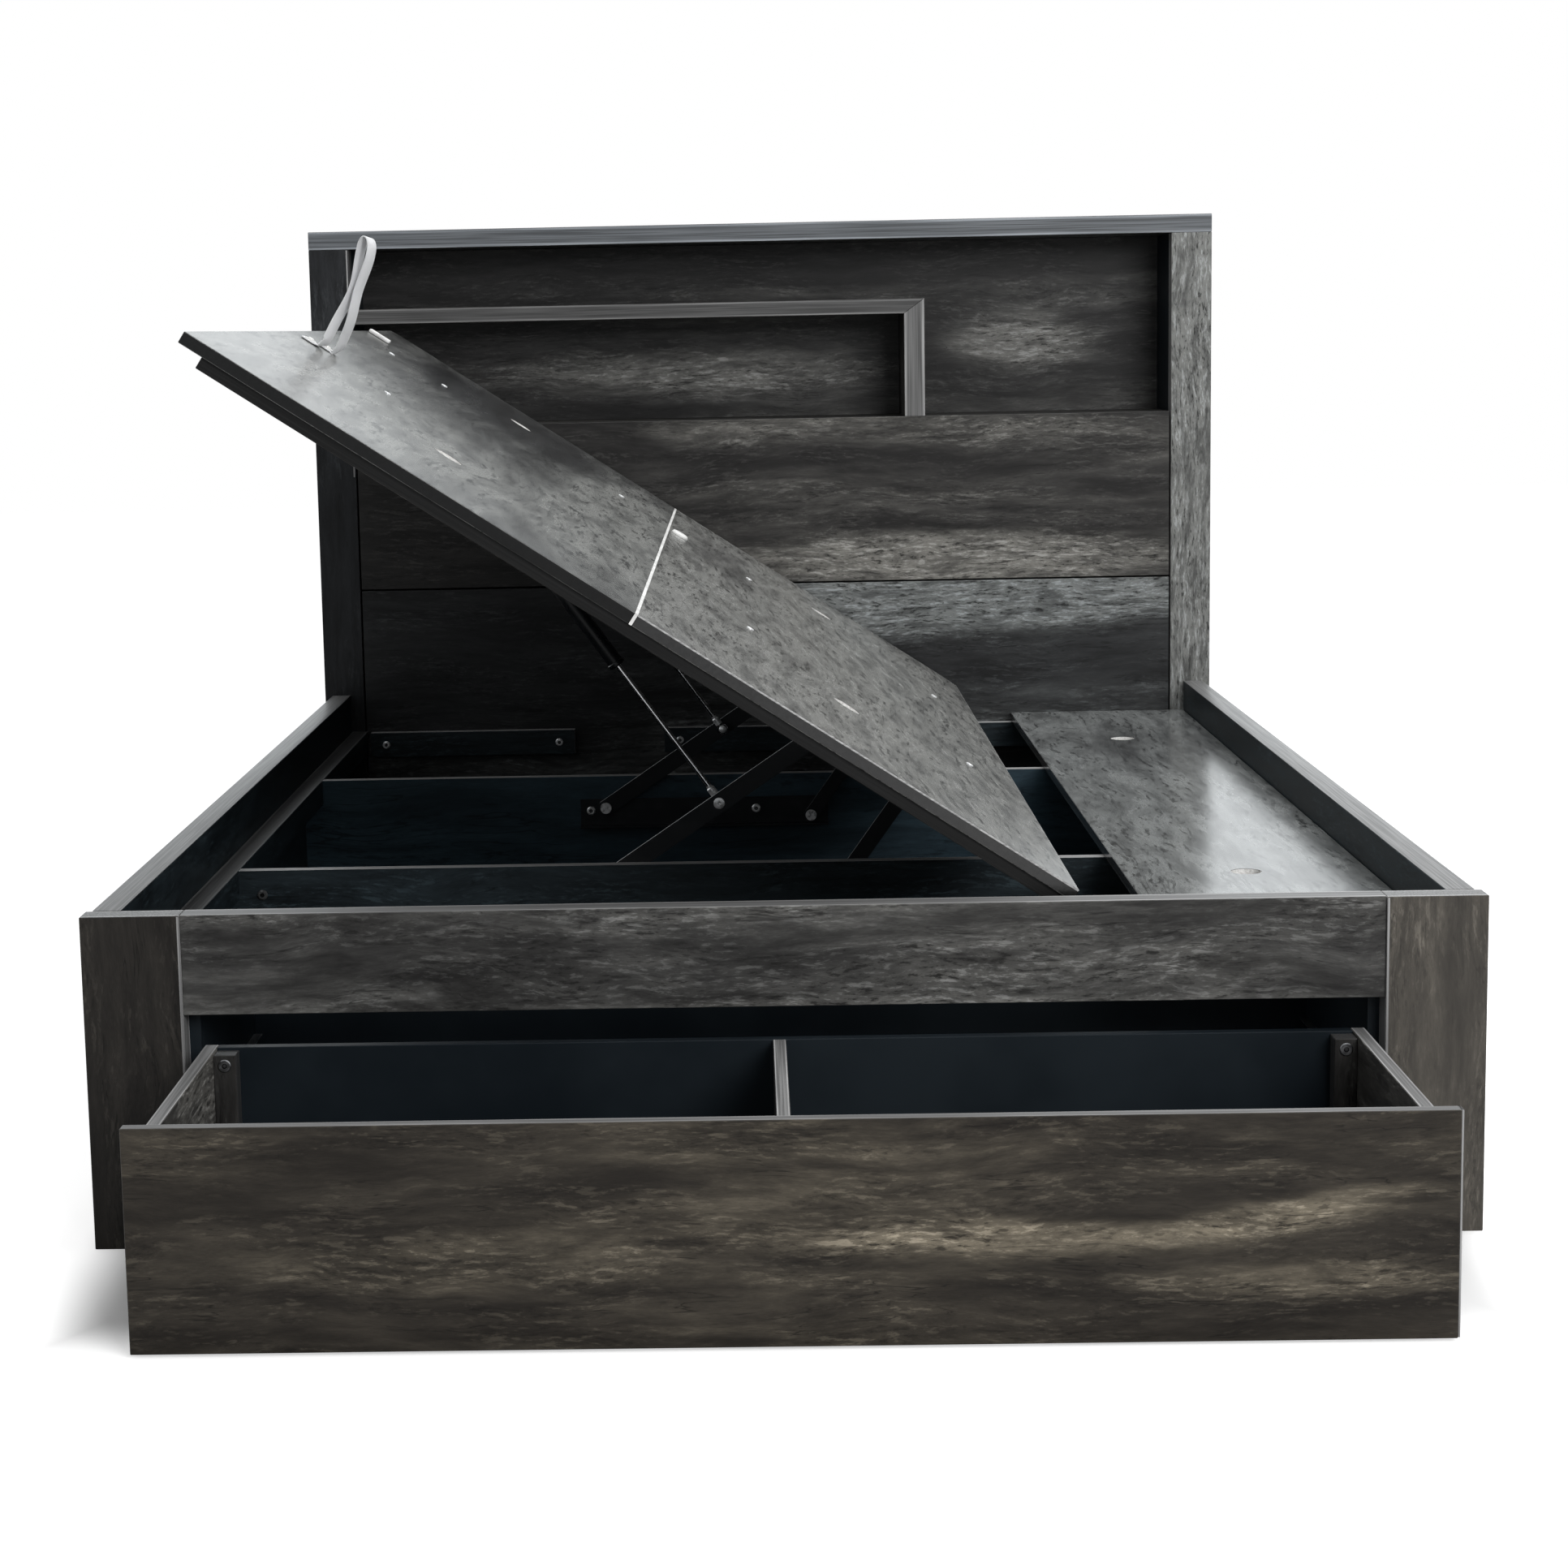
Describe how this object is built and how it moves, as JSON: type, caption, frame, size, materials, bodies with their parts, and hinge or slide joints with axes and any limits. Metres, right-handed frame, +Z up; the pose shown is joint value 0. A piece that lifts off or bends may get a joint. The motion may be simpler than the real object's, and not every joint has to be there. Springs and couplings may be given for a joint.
{
  "type": "storage bed frame",
  "caption": "Storage bed frame with a shelf headboard, a gas-strut lid that lifts sideways over the storage space, and a wide drawer in the foot end.",
  "frame": {"origin": "on the floor, in the middle of the frame's outline with the drawer pulled out and the lid raised", "axes": "+X to the right seen from the foot end, +Y towards the headboard, +Z up"},
  "size_m": [1.6312, 2.6236, 1.243],
  "materials": {
    "weathered_oak": "charcoal weathered-oak melamine, satin",
    "dark_board": "near-black melamine board, satin",
    "white_edging": "pale plastic edging",
    "black_steel": "black powder coat",
    "strut_black": "smooth black paint",
    "rod_steel": "hard chromed rod",
    "bright_zinc": "bright zinc plate",
    "runner_steel": "zinc-plated sheet",
    "white_webbing": "woven white webbing"
  },
  "bodies": {
    "frame": {"side_rail_right": "weathered_oak", "side_rail_left": "weathered_oak", "side_rail_liner_right": "weathered_oak", "side_rail_liner_left": "weathered_oak", "foot_post_right": "weathered_oak", "foot_post_left": "weathered_oak", "front_rail": "weathered_oak", "headboard_post_right": "weathered_oak", "headboard_post_left": "weathered_oak", "headboard_side_right": "weathered_oak", "headboard_side_left": "weathered_oak", "headboard_inner_sides": "dark_board", "headboard_top": "weathered_oak", "headboard_back_panel": "weathered_oak", "headboard_niche_floor": "weathered_oak", "headboard_upper_panel": "weathered_oak", "headboard_lower_panel": "weathered_oak", "headboard_shelf": "weathered_oak", "headboard_divider": "weathered_oak", "headboard_cleats": "weathered_oak", "side_cleat_right": "weathered_oak", "side_cleat_left": "weathered_oak", "cross_board_front": "weathered_oak", "cross_board_rear": "weathered_oak", "storage_floor": "dark_board", "floor_battens": "dark_board", "drawer_bay_back": "dark_board", "drawer_bay_sides": "dark_board", "fixed_platform_panel": "weathered_oak", "frame_bolts": "bright_zinc", "drawer_runner_outer": "runner_steel", "lift_base_rail_front": "black_steel", "lift_base_rail_rear": "black_steel", "lift_base_bolts": "bright_zinc", "lift_base_pivots": "bright_zinc"},
    "drawer": {"drawer_front": "weathered_oak", "drawer_side_right": "weathered_oak", "drawer_side_left": "weathered_oak", "drawer_back": "weathered_oak", "drawer_divider": "weathered_oak", "drawer_bottom": "dark_board", "drawer_corner_blocks": "weathered_oak", "drawer_cam_fittings": "bright_zinc", "drawer_runner_inner": "runner_steel"},
    "runner_middles": {"drawer_runner_middle": "runner_steel"},
    "lift_arms": {"lift_arm_front": "black_steel", "lift_arm_rear": "black_steel"},
    "lid": {"lid_board_right": "weathered_oak", "lid_board_left": "weathered_oak", "lid_joint_strip": "white_edging", "lid_side_battens": "weathered_oak", "lid_end_battens": "weathered_oak", "lid_pivots": "bright_zinc", "lid_rail_front": "black_steel", "lid_rail_rear": "black_steel", "lid_rail_screws": "bright_zinc", "pull_strap": "white_webbing"},
    "strut_tubes": {"gas_strut_tubes": "strut_black"},
    "strut_rods": {"gas_strut_rods": "rod_steel"},
    "lift_links": {"lift_links": "black_steel"}
  },
  "joints": [
    {"name": "drawer_slide", "type": "slide", "parent": "frame", "child": "drawer", "axis": [0, 1, 0], "range_m": [0, 0.3765]},
    {"name": "runner_slide", "type": "slide", "parent": "frame", "child": "runner_middles", "axis": [0, 1, 0], "range_m": [0, 0.18825]},
    {"name": "arm_swing", "type": "hinge", "parent": "frame", "child": "lift_arms", "pos_m": [-0.27, 0.11875, 0.278], "axis": [0, 1, 0], "range_deg": [0, 30.11]},
    {"name": "lid_swing", "type": "hinge", "parent": "lift_arms", "child": "lid", "pos_m": [0.09262, 0.11875, 0.52259], "axis": [0, -1, 0], "range_deg": [0, 63.31]},
    {"name": "tube_swing", "type": "hinge", "parent": "lid", "child": "strut_tubes", "pos_m": [-0.37192, 0.11875, 0.82335], "axis": [0, -1, 0], "range_deg": [0, 19.36]},
    {"name": "rod_slide", "type": "slide", "parent": "strut_tubes", "child": "strut_rods", "axis": [-0.5826, 0, 0.8127], "range_m": [0, 0.15768]},
    {"name": "link_swing", "type": "hinge", "parent": "frame", "child": "lift_links", "pos_m": [0.067, 0.11875, 0.262], "axis": [0, 1, 0], "range_deg": [0, 42.31]}
  ],
  "couplings": [
    {"joint": "runner_slide", "follows": "drawer_slide", "ratio": 0.5},
    {"joint": "arm_swing", "follows": "lid_swing", "ratio": 0.47557},
    {"joint": "tube_swing", "follows": "lid_swing", "ratio": 0.30588},
    {"joint": "rod_slide", "follows": "lid_swing", "m_per_rad": 0.14271},
    {"joint": "link_swing", "follows": "lid_swing", "ratio": 0.66827}
  ]
}
